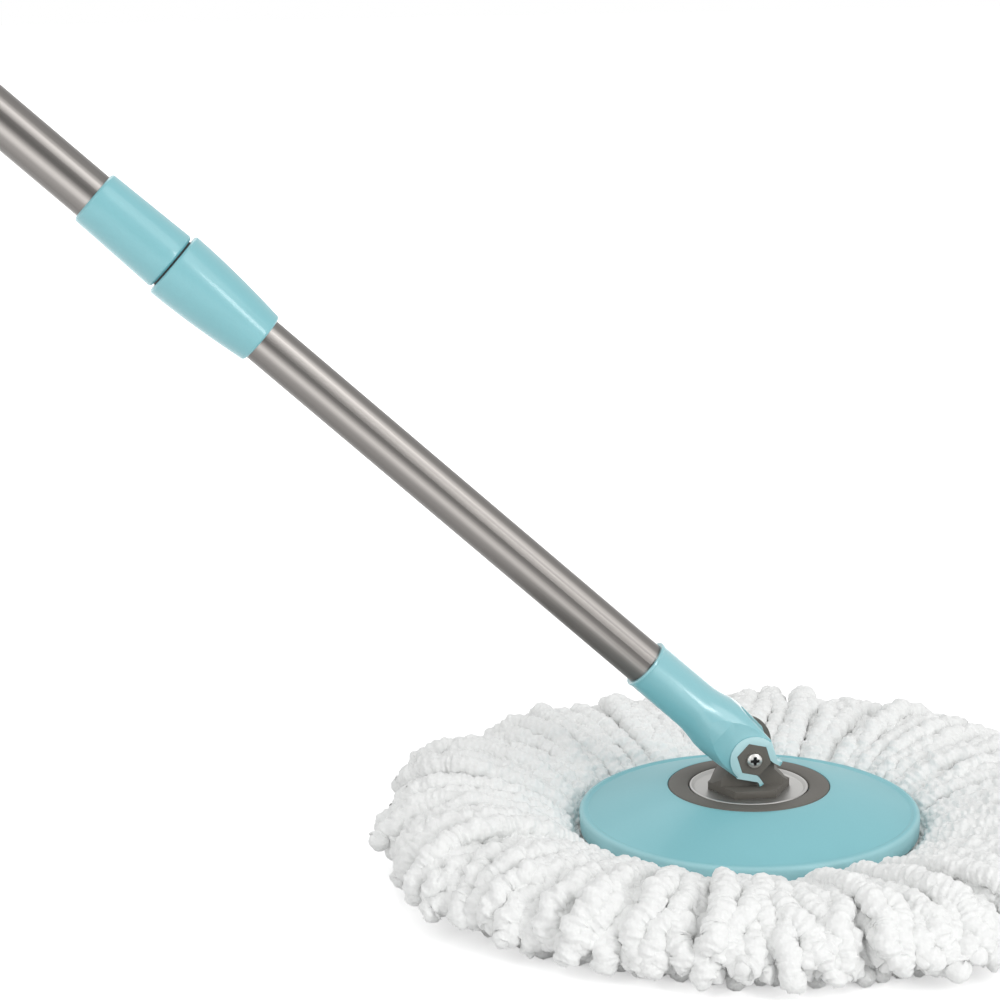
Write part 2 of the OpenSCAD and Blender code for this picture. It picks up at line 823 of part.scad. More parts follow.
// The end cap: a plug in the tube, a collar over it and an eye to hang the mop by
module end_cap() {
    eye_r = hang_r + eye_wall;
    cap_wall = 3;
    edge_a = up_end + 3;
    crown_a = up_end + 5;
    web_a = up_end + 2;
    color([0.40, 0.38, 0.35]) on_handle() difference() {
        union() {
            difference() {
                rotate_extrude() {
                    polygon([
                        [0, grip_end + fit], [grip_r, grip_end + fit], [grip_r, up_end],
                        [grip_r - 1, edge_a], [eye_r, crown_a], [0, crown_a]
                    ]);
                }
                ring(up_r - tube_wall - fit, up_r + fit, grip_end - 1, up_end + fit);
                translate([0, 0, grip_end]) cylinder(r = up_r - tube_wall - cap_wall, h = up_end - grip_end);
            }
            ring(up_r - tube_wall - cap_wall, up_r - tube_wall - fit, up_end - spigot_len, up_end);
            rotate([90, 0, 0]) linear_extrude(eye_t, center = true) {
                translate([0, eye_a]) circle(r = eye_r);
                translate([-eye_r, web_a]) square([2 * eye_r, eye_a - web_a]);
            }
        }
        translate([0, 0, eye_a]) rotate([90, 0, 0]) cylinder(r = hang_r, h = 3 * eye_t, center = true);
    }
}

mop_strands();
strand_ring();
mop_disc();
bearing_outer_race();
bearing_balls();
ball_cage();
bearing_retainer();
retainer_screws();
trim_ring();
hub_cap();
bearing_inner_race();
swivel_dish();
knuckle();
stem_washer();
stem_screw();
fork();
hinge_pin();
hinge_key();
hinge_screw();
tube_plug();
tube_screw();
lower_tube();
slide_bush();
lock_nut();
collet();
upper_collar();
upper_tube();
grip();
end_cap();
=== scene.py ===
import json
import math

import bmesh
import bpy
import numpy as np
from mathutils import Matrix, Vector

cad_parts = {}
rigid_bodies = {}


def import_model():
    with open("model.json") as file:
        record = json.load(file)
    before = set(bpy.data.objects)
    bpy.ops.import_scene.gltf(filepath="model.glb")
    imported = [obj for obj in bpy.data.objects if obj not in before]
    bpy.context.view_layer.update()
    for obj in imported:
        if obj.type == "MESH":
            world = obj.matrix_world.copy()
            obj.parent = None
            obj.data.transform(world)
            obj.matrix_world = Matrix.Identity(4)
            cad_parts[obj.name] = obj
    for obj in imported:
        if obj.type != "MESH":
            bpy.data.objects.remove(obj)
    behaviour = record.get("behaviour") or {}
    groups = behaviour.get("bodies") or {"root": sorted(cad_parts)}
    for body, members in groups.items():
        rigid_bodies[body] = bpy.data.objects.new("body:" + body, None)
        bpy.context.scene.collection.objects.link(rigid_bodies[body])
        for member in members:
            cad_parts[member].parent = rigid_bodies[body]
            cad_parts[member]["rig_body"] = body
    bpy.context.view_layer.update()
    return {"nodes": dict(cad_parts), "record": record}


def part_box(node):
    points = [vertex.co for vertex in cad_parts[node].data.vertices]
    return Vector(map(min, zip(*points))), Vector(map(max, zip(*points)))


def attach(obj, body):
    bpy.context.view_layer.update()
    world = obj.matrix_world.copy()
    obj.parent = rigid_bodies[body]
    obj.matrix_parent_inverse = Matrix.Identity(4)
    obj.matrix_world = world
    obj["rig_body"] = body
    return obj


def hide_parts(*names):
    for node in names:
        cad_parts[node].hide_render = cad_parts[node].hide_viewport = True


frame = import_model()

# -------------------------------------------- units, places and colours

MM = 0.001
TAU = 2 * math.pi

LEAN = math.radians(47.4)                    # of the handle at rest, from upright towards -X
HINGE = (0.0, 0.0, 0.052)                    # where the handle's axis crosses the hinge's, metres
EAR_FACE = -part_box("hinge_key")[0][1]        # from the middle to the outer face of key and ear, metres
SKIRT_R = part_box("mop_disc")[1][0] / MM      # the disc's outer radius, mm
HEAD_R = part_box("mop_strands")[1][0] / MM    # the strand head's outer radius, mm
SLOTS = {part["node"]: part["material_slot"] for part in frame["record"]["subparts"]}


def tint(r, g, b):
    """A colour from its display values of 0 to 255."""
    def linear(c):
        c /= 255.0
        return c / 12.92 if c <= 0.04045 else ((c + 0.055) / 1.055) ** 2.4
    return tuple(linear(c) for c in (r, g, b))


def scaled(triple, level):
    """A plain colour or vector times a number."""
    return tuple(level * part for part in triple)


WHITE = (1.0, 1.0, 1.0)
BLACK = (0.0, 0.0, 0.0)
TURQUOISE = tint(128, 191, 199)
HIGHLIGHT_TURQUOISE = tint(186, 222, 226)    # turquoise for painted light: a painted highlight on the fork's rims and painted bounced light on the disc's skirt
TAUPE = tint(98, 95, 89)
CLEAN_YARN = (0.947, 0.953, 0.944)
DULL_YARN = (0.920, 0.927, 0.920)
WARM_STEEL = (1.0, 0.945, 0.90)         # times a grey, the colour of the tubes
DISH_STEEL = (0.50, 0.495, 0.48)
BEARING_STEEL = (0.60, 0.60, 0.60)
ZINC = (0.66, 0.65, 0.63)
# painted shade of a screw's cross recess
RECESS_SHADE = (0.02, 0.02, 0.022)


# ---------------------------------------------------------------- shaders

def math_node(operation, reflected=False):
    """A method of Value that adds one Math node. A reflected one puts its own value last, as in 1 - mask."""
    def method(self, *others):
        terms = (*others, self) if reflected else (self, *others)
        return self.net.node("ShaderNodeMath", {"operation": operation}, dict(enumerate(terms)))
    return method


class Value:
    """One shader socket, with arithmetic that adds Math nodes."""

    def __init__(self, net, socket):
        self.net = net
        self.socket = socket

    __add__ = math_node("ADD")
    __radd__ = math_node("ADD", reflected=True)
    __sub__ = math_node("SUBTRACT")
    __rsub__ = math_node("SUBTRACT", reflected=True)
    __mul__ = math_node("MULTIPLY")
    __rmul__ = math_node("MULTIPLY", reflected=True)
    __truediv__ = math_node("DIVIDE")
    __rtruediv__ = math_node("DIVIDE", reflected=True)
    __abs__ = math_node("ABSOLUTE")
    sqrt = math_node("SQRT")
    atan2 = math_node("ARCTAN2")
    least = math_node("MINIMUM")
    most = math_node("MAXIMUM")

    def __neg__(self):
        return self * -1.0

    def between(self, low, high):
        """0 at low, 1 at high, straight between them and held outside. low may be the larger of the two."""
        return ((self - low) / (high - low)).least(1.0).most(0.0)

    def about(self, middle, spread):
        """Makes a noise of 0 to 1 swing about a middle, by half of the spread each way."""
        return middle + (self - 0.5) * spread


def radius_of(a, b):
    """How far the point (a, b) lies from the middle."""
    return (a * a + b * b).sqrt()


def set_stops(ramp, stops):
    """Gives a colour ramp its (place, colour) stops, smoothed into one another."""
    ramp.interpolation = "B_SPLINE"
    while len(ramp.elements) < len(stops):
        ramp.elements.new(0.5)
    for element, (place, colour) in zip(ramp.elements, stops):
        element.position = place
        element.color = (*colour, 1.0)


class Net:
    """The node tree of a material or of the world, with the shader that it starts with."""

    def __init__(self, owner, shader="Principled BSDF", **constants):
        owner.use_nodes = True
        self.owner = owner
        self.tree = owner.node_tree
        self.shader = self.tree.nodes[shader]
        self.drive(**constants)

    def put(self, socket, value):
        """Links a Value to a socket, or writes a number, a vector or a colour of three parts on it."""
        if isinstance(value, Value):
            self.tree.links.new(value.socket, socket)
        elif socket.type == "RGBA":
            socket.default_value = (*value, 1.0)
        else:
            socket.default_value = value

    def node(self, kind, settings=None, inputs=None, out=0):
        """Adds one node, sets its properties or its ramp's stops and then its inputs, and gives the output
        asked for."""
        made = self.tree.nodes.new(kind)
        for key, value in (settings or {}).items():
            if key == "stops":
                set_stops(made.color_ramp, value)
            else:
                setattr(made, key, value)
        for key, value in (inputs or {}).items():
            self.put(made.inputs[key], value)
        return Value(self, made.outputs[out])

    def drive(self, **sockets):
        """Feeds the shader's own sockets, such as base_color or coat_ior, and gives the tree's owner."""
        for key, value in sockets.items():
            label = key.replace("_", " ").title().replace("Ior", "IOR")
            self.put(self.shader.inputs[label], value)
        return self.owner

    def place(self, centre=(0.0, 0.0, 0.0)):
        """Object coordinates, measured from a centre."""
        source = self.node("ShaderNodeTexCoord", out="Object")
        return self.node("ShaderNodeMapping", inputs={"Vector": source, "Location": scaled(centre, -1.0)})

    def axes(self, vector):
        """The three parts of a vector."""
        split = self.node("ShaderNodeSeparateXYZ", inputs={0: vector}).socket.node
        return [Value(self, socket) for socket in split.outputs]

    def vector(self, x, y, z):
        """A vector from its three parts."""
        return self.node("ShaderNodeCombineXYZ", inputs={0: x, 1: y, 2: z})

    def noise(self, vector, scale=1.0, detail=2.0, rough=0.5):
        """Smooth noise of 0 to 1, with about scale waves in a metre."""
        return self.node("ShaderNodeTexNoise", inputs={"Vector": vector, "Scale": scale, "Detail": detail,
                                                       "Roughness": rough})

    def mix(self, share, a, b):
        """Colour a where share is 0 and colour b where it is 1. The node's sockets for colours are its
        inputs 6 and 7 and its output 2."""
        return self.node("ShaderNodeMix", {"data_type": "RGBA"}, {0: share, 6: a, 7: b}, out=2)

    def shade(self, colour, level):
        """A varying colour made darker or lighter by a level."""
        return self.node("ShaderNodeVectorMath", {"operation": "SCALE"}, {0: colour, "Scale": level})

    def bump(self, height, strength, distance):
        """A surface roughened by a height of 0 to 1, which stands for a distance in metres."""
        return self.node("ShaderNodeBump", inputs={"Strength": strength, "Distance": distance,
                                                   "Height": height})

    def seen(self):
        """1 for what the eye, a mirror or glass sees, and 0 for what only the light itself meets."""
        rays = [self.node("ShaderNodeLightPath", out=f"Is {kind} Ray")
                for kind in ("Camera", "Glossy", "Transmission")]
        return rays[0].most(rays[1]).most(rays[2])


# -------------------------------------------------------------- materials

def new_material(name, **constants):
    """The net of a new material, with constants on its shader."""
    return Net(bpy.data.materials.new(name), **constants)


PLASTIC_SWAYS = 28.0                 # slow changes of a moulding in a metre
PLASTIC_GRAINS = 900.0               # and its fine ones
# Painted highlight on the ears' rims, and painted light on the disc's skirt
RIM_R = (11.8 * MM, 12.8 * MM)       # where the ears' rims end, from the hinge axis
RIM_DEPTH = (0.6 * MM, 0.2 * MM)     # how far under the outermost face the painted highlight begins and is full
RIM_HIGHLIGHT_SHARE = 0.75                    # share of the highlight turquoise where the painted highlight is full
SKIRT_DEPTH = (2.2, 0.8)             # how far under the skirt's surface the painted light begins and is full, mm
SKIRT_LIGHT_SHARE = 0.40                  # and the painted light's share there
BRUSH_LINES = (2600.0, 9.0)          # changes in a metre of brushed tube, across and along
LATHE_LINES = (1600.0, 200.0)        # and of turned metal, outwards and upwards
# The painted shade of a screw's cross recess:
SLOT_EDGE = (0.9 * MM, 0.6 * MM)     # half the width of a screw's slot, and where it is fully dark
SLOT_END = (2.4 * MM, 1.9 * MM)      # half its length
HOLE_EDGE = (1.5 * MM, 1.1 * MM)     # radius of the hole where two slots meet


def moulded(name, colour, roughness, grain, coat=0.0, blur=0.14, gloss=1.5, painted_light=None):
    """Moulded plastic: a fine grain, as strong as grain says, and a slow drift of sheen and tone. blur and
    gloss are the roughness and the index of its coat. The last argument, called with net and at, gives the
    share, 0 to 1, of painted light, by which the colour is painted lighter towards the highlight turquoise."""
    net = new_material(name, coat_weight=coat, coat_roughness=blur, coat_ior=gloss)
    at = net.place()
    slow = net.noise(at, scale=PLASTIC_SWAYS)
    fine = net.noise(at, scale=PLASTIC_GRAINS, detail=3.0)
    tone = net.mix(slow, colour, scaled(colour, 0.95))
    if painted_light:
        # painted light: the colour is mixed towards the highlight turquoise by the painted share
        tone = net.mix(painted_light(net, at), tone, HIGHLIGHT_TURQUOISE)
    return net.drive(base_color=net.shade(tone, fine.about(1.0, 0.05)),
                     roughness=slow.about(roughness, 0.10),
                     normal=net.bump(fine, strength=grain, distance=0.2 * MM))


def rim_painted_highlight(net, at):
    """A painted highlight on the raised rims of the fork's ears, standing for the light they catch: near the
    hinge axis, and on the outermost faces.
    """
    x, y, z = net.axes(at)
    outermost = abs(y).between(EAR_FACE - RIM_DEPTH[0], EAR_FACE - RIM_DEPTH[1])
    near_hinge = 1.0 - radius_of(x, z - HINGE[2]).between(*RIM_R)
    return outermost * near_hinge * RIM_HIGHLIGHT_SHARE


def skirt_painted_light(net, at):
    """The disc's upright skirt, painted lighter than its dome: painted light that stands for the light the
    strands around it bounce onto it.
    """
    x, y, _ = net.axes(at)
    begins, full = [(SKIRT_R - depth) * MM for depth in SKIRT_DEPTH]
    return radius_of(x, y).between(begins, full) * SKIRT_LIGHT_SHARE


def brushed_tube(name, painted_highlight_grey, highlight_turn):
    """Steel brushed along the handle, with fine lengthwise lines, and light and dark lengthwise bands round
    the tube that are painted reflections of the studio, the brightest a painted highlight. The place round
    the tube goes from 0 to 1, and is 0.25 underneath, 0.5 at the front and 0.75 on top. The first number
    given is the grey of the painted highlight, the brightest band, and the second moves that band round the
    tube."""
    net = new_material(name, metallic=1.0)
    upright = net.node("ShaderNodeVectorRotate", {"rotation_type": "Y_AXIS"},
                       {"Vector": net.place(HINGE), "Angle": LEAN})
    x, y, z = net.axes(upright)
    around = x.atan2(-y) / TAU + 0.5
    # Painted reflections and a painted highlight: the grey of each light and dark band round the tube,
    # standing for the studio mirrored in the steel
    reflection_greys = [(0.0, 0.42), (0.06, 0.18), (0.13, 0.52), (0.20, 0.16), (0.27, 0.34), (0.32, 0.20), (0.36, 0.16),
             (0.405, 0.24), (0.440, 0.26), (0.470, 0.62), (0.500, 0.20), (0.525, 0.12),
             (0.556 + highlight_turn, 0.15), (0.587 + highlight_turn, 0.97 * painted_highlight_grey), (0.604 + highlight_turn, painted_highlight_grey),
             (0.626 + highlight_turn, 0.27),
             (0.69, 0.22), (0.73, 0.26), (0.80, 0.50), (0.87, 0.18), (0.94, 0.40), (1.0, 0.42)]
    stops = [(place, scaled(WARM_STEEL, grey)) for place, grey in reflection_greys]
    painted_bands = net.node("ShaderNodeValToRGB", {"stops": stops}, {0: around})
    across, along = BRUSH_LINES
    lines = net.noise(net.vector(x * across, y * across, z * along), detail=3.0)
    return net.drive(base_color=net.shade(painted_bands, lines.about(0.80, 0.176)),
                     roughness=lines.about(0.35, 0.14),
                     normal=net.bump(lines, strength=0.12, distance=0.1 * MM))


def turned_metal(name, colour, roughness):
    """Metal finished on a lathe about the upright axis: fine rings and a soft drift of tone."""
    net = new_material(name, metallic=1.0)
    at = net.place()
    x, y, z = net.axes(at)
    outwards, upwards = LATHE_LINES
    rings = net.noise(net.vector(radius_of(x, y) * outwards, z * upwards, 0.0))
    drift = net.noise(at, scale=60.0)
    tone = net.mix(drift, colour, scaled(colour, 0.86))
    return net.drive(base_color=net.shade(tone, rings.about(0.99, 0.18)),
                     roughness=rings.about(roughness + 0.01, 0.14),
                     normal=net.bump(rings, strength=0.08, distance=0.1 * MM))


def cross_head(name, colour, roughness):
    """A plated screw with the shade of a cross recess painted dark on it, for a head that faces -Y on the
    hinge axis. The painted shade is two crossed slots and the round hole where they meet, all with soft
    edges."""
    net = new_material(name)
    at = net.place(HINGE)
    x, _, z = net.axes(at)
    slot_width = abs(x).least(abs(z)).between(*SLOT_EDGE)
    slot_length = abs(x).most(abs(z)).between(*SLOT_END)
    hole = radius_of(x, z).between(*HOLE_EDGE)
    # painted shade: near black, less metallic and rougher within the recess
    recess_shade = (slot_width * slot_length).most(hole)
    scratch = net.noise(at, scale=700.0, detail=3.0)
    tone = net.shade(net.mix(recess_shade, colour, RECESS_SHADE), scratch.about(1.0, 0.3))
    return net.drive(base_color=tone, roughness=roughness + recess_shade * 0.4, metallic=1.0 - recess_shade * 0.7,
                     normal=net.bump(scratch, strength=0.10, distance=0.1 * MM))


def microfibre(name):
    """White microfibre yarn: soft tufts, a fine nap, a slow drift of tone, and painted shade that darkens
    the grooves of the twist and the hollows between tufts. The groove shade attribute is 0 on the crown of a
    yarn's twist and about 1 in its lowest places."""
    net = new_material(name, roughness=0.92, specular_ior_level=0.12, sheen_weight=0.2, sheen_roughness=0.6)
    at = net.place()
    nap = net.noise(at, scale=1100.0, detail=3.0, rough=0.65)
    tuft = net.node("ShaderNodeTexVoronoi", {"feature": "SMOOTH_F1"},
                    {"Vector": at, "Scale": 480.0, "Smoothness": 0.4})
    drift = net.noise(at, scale=90.0)
    groove = net.node("ShaderNodeAttribute", {"attribute_name": "groove"}, out="Fac")
    # painted shade: darker in the grooves of the twist and between the tufts
    level = nap.about(1.0, 0.05) - groove * 0.05 - tuft * 0.04
    return net.drive(base_color=net.shade(net.mix(drift, CLEAN_YARN, DULL_YARN), level),
                     normal=net.bump(nap * 0.35 - tuft * 0.9, strength=0.5, distance=1.2 * MM))


# By material slot, and then by node where one has a finish of its own
FINISHES = {
    "strands": microfibre("white_microfibre"),
    "turquoise_plastic": moulded("turquoise_moulding", TURQUOISE, 0.32, grain=0.05, coat=0.5),
    "taupe_plastic": moulded("taupe_moulding", TAUPE, 0.62, grain=0.14),
    "white_plastic": moulded("white_moulding", tint(225, 226, 224), 0.45, grain=0.08),
    "dark_plastic": moulded("dark_moulding", tint(60, 58, 56), 0.5, grain=0.10),
    "brushed_tube": brushed_tube("brushed_tube_steel_painted_bands", painted_highlight_grey=0.64, highlight_turn=0.016),
    "bright_dish": turned_metal("bright_dish_steel", DISH_STEEL, 0.42),
    "bearing_steel": turned_metal("ground_bearing_steel", BEARING_STEEL, 0.25),
    "fastener_steel": turned_metal("zinc_plated_steel", ZINC, 0.30),
}
OWN_FINISHES = {
    "upper_tube": brushed_tube("brushed_upper_tube_steel_painted_bands", painted_highlight_grey=0.47, highlight_turn=0.002),
    "fork": moulded("turquoise_fork_moulding", TURQUOISE, 0.32, grain=0.05, coat=1.0, blur=0.22, gloss=1.7,
                    painted_light=rim_painted_highlight),
    "mop_disc": moulded("turquoise_disc_moulding", TURQUOISE, 0.50, grain=0.05, coat=0.1, painted_light=skirt_painted_light),
    "hinge_screw": cross_head("plated_cross_head", ZINC, 0.30),
}


def finish_of(node):
    """A node's own finish where it has one, and its slot's otherwise."""
    return OWN_FINISHES.get(node) or FINISHES[SLOTS[node]]


# --------------------------------------------------------------- geometry

def new_object(name, data):
    """An object in the scene that carries some data."""
    made = bpy.data.objects.new(name, data)
    bpy.context.scene.collection.objects.link(made)
    return made


def new_mesh(name, points, loops, sizes, attributes=None):
    """A mesh object from arrays: the vertices, the corner list, each face's corner count, and named values,
    one for each vertex."""
    mesh = bpy.data.meshes.new(name)
    mesh.vertices.add(len(points))
    mesh.vertices.foreach_set("co", np.ascontiguousarray(points, np.float32).ravel())
    mesh.loops.add(len(loops))
    mesh.loops.foreach_set("vertex_index", np.asarray(loops, np.int32))
    starts = np.concatenate([[0], np.cumsum(sizes)[:-1]]).astype(np.int32)
    mesh.polygons.add(len(sizes))
    mesh.polygons.foreach_set("loop_start", starts)
    mesh.update(calc_edges=True)
    mesh.validate()
    for key, values in (attributes or {}).items():
        mesh.attributes.new(key, "FLOAT", "POINT").data.foreach_set("value", np.asarray(values, np.float32))
    mesh.shade_smooth()
    return new_object(name, mesh)


def through(controls, count):
    """Points on a smooth curve through control points, (..., k, d) to (..., count, d), at even steps. Each
    is the cubic blend of the four nearest control points that is called a Catmull-Rom curve."""
    p = np.concatenate([2 * controls[..., :1, :] - controls[..., 1:2, :], controls,
                        2 * controls[..., -1:, :] - controls[..., -2:-1, :]], axis=-2)
    t = np.linspace(0, controls.shape[-2] - 1 - 1e-9, count)
    i = t.astype(int)
    f = (t - i)[:, None]
    a, b, c, d = (p[..., i + k, :] for k in range(4))
    square = (2 * a - 5 * b + 4 * c - d) * f ** 2
    cube = (3 * b - a - 3 * c + d) * f ** 3
    return 0.5 * (2 * b + (c - a) * f + square + cube)


# ------------------------------------------------------------ hard pieces

SHARP = math.radians(32.0)    # edges that fold more than this stay edges, and are softened
MERGE = 2e-6                  # corners closer than this are one, metres
SPECK = 1e-6                  # edges shorter than this go, metres
EDGE_STEPS = 2
# Width of each piece's softened edges, metres. At 0 they stay as they are
SOFT_EDGES = {
    "mop_disc": 0.0003, "trim_ring": 0.0002, "swivel_dish": 0.0002, "knuckle": 0.0004, "fork": 0.00035,
    "hinge_pin": 0.0003, "hinge_key": 0.0002, "hinge_screw": 0.0001, "tube_screw": 0.0001,
    "lower_tube": 0.0, "upper_tube": 0.0, "lock_nut": 0.0003, "upper_collar": 0.0003,
    "grip": 0.0003, "end_cap": 0.0004,
}


def finished(node, bevel):
    """A CAD node's merged, smoothed copy with softened edges, which stands for the node."""
    source = frame["nodes"][node]
    mesh = source.data.copy()
    soup = bmesh.new()
    soup.from_mesh(mesh)
    bmesh.ops.remove_doubles(soup, verts=soup.verts, dist=MERGE)
    bmesh.ops.dissolve_degenerate(soup, edges=soup.edges, dist=SPECK)
    soup.to_mesh(mesh)
    soup.free()
    mesh.materials.clear()
    mesh.materials.append(finish_of(node))
    mesh.shade_smooth()
    mesh.set_sharp_from_angle(angle=SHARP)
    made = new_object(node + "_finished", mesh)
    if bevel:
        soften = made.modifiers.new("soft_edges", "BEVEL")
        soften.width = bevel
        soften.segments = EDGE_STEPS
        soften.limit_method = "ANGLE"
        soften.angle_limit = SHARP
    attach(made, source["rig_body"])
    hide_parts(node)


for node, part in frame["nodes"].items():
    part.data.materials.clear()
    part.data.materials.append(finish_of(node))

for node, bevel in SOFT_EDGES.items():
    finished(node, bevel)

# ---------------------------------------------------------------- one yarn

YARN_R = 5.4 * MM             # of a yarn that has fluffed out
YARN_R_RANGE = (0.90, 1.10)   # the thinnest and the thickest yarn, as shares of that
ROOT_SHARE = 0.80             # of its radius that a yarn has where it starts
OPEN_SHARE = 0.24             # that it gains over
YARN_OPENS = 75 * MM          # this length
CAP_LENGTH = 1.2              # of its rounded ends, in radii
CAP_START = 0.4               # where the root is cut from its rounded end, in radii
CAP_LEAST = 0.0025            # square of the least share of the radius at an end
NUB = 0.15                    # how far the pole stands past an end, in radii
TWIST = math.pi / (8.4 * MM)  # of the two plies, a ridge every 8.4 mm
TWIST_RANGE = (0.85, 1.15)
PLY_BASE = 0.84               # radius where the plies meet, as a share
PLY_RELIEF = 0.17             # how far they stand out from there
RIB_PITCH = 3.3 * MM          # of the fine twist round a yarn
RIB_PITCH_RANGE = (0.92, 1.10)
RIB_RELIEF = 0.07             # how far it stands out, as a share
SWELL_PITCH = 13 * MM         # of the slow thick and thin along a yarn
SWELL_RELIEF = 0.08           # and their share of the radius
# Waves round the yarn, pitch along it, share of the radius
TUFTS = [(3, 6.1 * MM, 0.03), (-2, 7.7 * MM, 0.05), (2, 5.1 * MM, 0.03)]
FLOOR_GAP = 0.2 * MM          # the least height of a yarn's skin
# Weights of the painted shade in a yarn's grooves:
PLY_GROOVE = 0.5              # how much the lay of the plies counts as a groove
RIB_GROOVE = 0.25             # and half of how much the fine twist does


def yarn_axes(spine):
    """Three directions at right angles for each ring of each spine: ahead along it, across it as level as
    may be, and over both."""
    ahead = np.gradient(spine, axis=1)
    ahead /= np.linalg.norm(ahead, axis=2, keepdims=True)
    middle = spine[:, spine.shape[1] // 2]
    beside = np.stack([middle[:, 1], -middle[:, 0], np.zeros(len(spine))], axis=-1)[:, None, :]
    across = beside - np.sum(beside * ahead, axis=2, keepdims=True) * ahead
    across /= np.linalg.norm(across, axis=2, keepdims=True)
    return ahead, across, np.cross(across, ahead)


def yarn_faces(count, rings, sides):
    """The corner list and the corner counts of many closed yarns. The vertices of a yarn are its rings in
    order, and then the poles of its start and its end. Faces of four corners join the rings, and faces of
    three close each end on its pole."""
    block = rings * sides + 2
    i = np.arange(rings - 1)[:, None] * sides
    j = np.arange(sides)[None, :]
    k = (j + 1) % sides
    quads = np.stack([i + j, i + k, i + k + sides, i + j + sides], axis=-1).reshape(-1, 4)
    last = (rings - 1) * sides
    start = np.stack([np.full(sides, block - 2), k[0], j[0]], axis=-1)
    finish = np.stack([np.full(sides, block - 1), last + j[0], last + k[0]], axis=-1)
    shift = (np.arange(count) * block)[:, None, None]
    quads = (quads + shift).ravel()
    tips = (np.concatenate([start, finish]) + shift).ravel()
    sizes = np.concatenate([np.full(len(quads) // 4, 4), np.full(len(tips) // 3, 3)])
    return np.concatenate([quads, tips]), sizes


def ropes(name, spine, radius, sides, seed):
    """Twisted yarns along many spines at once, (yarns, rings, 3) in metres. At the angle q round a yarn and
    the length s along it, the skin stands off the spine by
    r(s) * cap(s) * (1 + swell(s)) * (PLY_BASE + PLY_RELIEF * ply + RIB_RELIEF * rib + tufts),
    where r opens from the root on, cap closes both ends as half a ball and swell is a slow sine,
    ply = |cos(q - TWIST * s)| is the lay of the two plies, rib = sin(q + 2 pi s / pitch) is the fine twist
    round them, and tufts are short waves. Each yarn has its own radius, phase, twist and pitch."""
    rng = np.random.default_rng(seed)
    count, rings, _ = spine.shape
    step = np.linalg.norm(np.diff(spine, axis=1), axis=2)
    s = np.concatenate([np.zeros((count, 1)), np.cumsum(step, axis=1)], axis=1)
    ahead, across, over = yarn_axes(spine)
    opening = ROOT_SHARE + OPEN_SHARE * np.clip(s / YARN_OPENS, 0, 1)
    r = radius * rng.uniform(*YARN_R_RANGE, (count, 1)) * opening
    end = np.minimum(s[:, -1:] - s, s + CAP_START * r)
    cap = np.sqrt(np.clip(1 - (1 - np.minimum(end / (CAP_LENGTH * r), 1)) ** 2, CAP_LEAST, 1))
    phase = rng.uniform(0, TAU, (count, 1))
    q = np.arange(sides) * TAU / sides
    turn = TWIST * rng.uniform(*TWIST_RANGE, (count, 1)) * s
    ply = np.abs(np.cos(q - turn[..., None] + phase[..., None]))
    pitch = RIB_PITCH * rng.uniform(*RIB_PITCH_RANGE, (count, 1))
    rib = np.sin(q + (s / pitch * TAU + phase * 3)[..., None])
    tufts = np.zeros((count, rings, sides))
    for around, length, height in TUFTS:
        tufts += height * np.sin(around * q + (s / length * TAU + phase * (around + 3))[..., None])
    swell = SWELL_RELIEF * np.sin(s / SWELL_PITCH * TAU + phase * 5)
    reach = (r * cap * (1 + swell))[..., None] * (PLY_BASE + PLY_RELIEF * ply + RIB_RELIEF * rib + tufts)
    ring = np.cos(q)[:, None] * across[:, :, None] + np.sin(q)[:, None] * over[:, :, None]
    skin = spine[:, :, None] + reach[..., None] * ring
    nub = NUB * radius * ahead
    poles = np.stack([spine[:, 0] - nub[:, 0], spine[:, -1] + nub[:, -1]], axis=1)
    points = np.concatenate([skin.reshape(count, -1, 3), poles], axis=1).reshape(-1, 3)
    points[:, 2] = np.maximum(points[:, 2], FLOOR_GAP)
    # Painted shade: how deep each point lies in the grooves of plies and fine twist, by which the yarn is
    # darkened
    groove = PLY_GROOVE * (1 - ply) + RIB_GROOVE * (1 - rib)
    groove = np.concatenate([groove.reshape(count, -1), np.zeros((count, 2))], axis=1).ravel()
    return new_mesh(name, points, *yarn_faces(count, rings, sides), {"groove": groove})


# ----------------------------------------------------- how the yarns lie

# A draped yarn's side view: the share of the way from the skirt to the head's edge, and of its height there
OUT = np.array([-0.09, 0.045, 0.127, 0.29, 0.505, 0.705, 0.840, 0.928, 0.968, 0.985])
RISE = np.array([0.0, 0.20, 0.42, 0.74, 0.95, 1.0, 0.90, 0.64, 0.30, 0.02])
CREST = 5                       # the highest of those points, after which the tip begins
JITTER = 0.26                   # most that a yarn is off its even place, in places
LEAN_TOGETHER = 0.30            # most that neighbours lean aside together, in places
LEAN_HARMONICS = (19, 26, 37)   # of such leans, in a turn of the head
MAT_LIFT = 28.0                 # how far the top yarns' centre lines rise, mm
MEAN_SHARE = 0.94               # of that lift, which a yarn has on average
HIGH_SIDE = math.radians(170)   # where the mat is highest, as an azimuth
HIGH_SIDE_GAIN = 0.17           # and by what share
BUNCH_GAIN = 0.10               # by which neighbours that bunch rise together
BUNCH_HARMONICS = (17, 23, 31, 40)
OWN_GAIN = 0.10                 # by which each rises or sinks alone
REACH_GAIN = 0.020              # by which neighbours reach out together
REACH_HARMONICS = (5, 9, 14)
OWN_REACH = (-0.025, 0.02)      # and each alone
LOBES = (-26, -58, -160)        # where the worn head spreads a little further, degrees
LOBE_REACH = 0.055              # and by what share
LOBE_POWER = 10                 # a larger one makes narrower lobes
LOWER_REACH = 0.035             # share by which a layer at the floor would fall short of the top one
CURL_OUT = 7.0                  # how far the tip that curls most kicks out, mm
CURL_UP = 0.42                  # and up, as a share of the lift
CURL_POWER = 2.2                # a larger one lets fewer tips curl
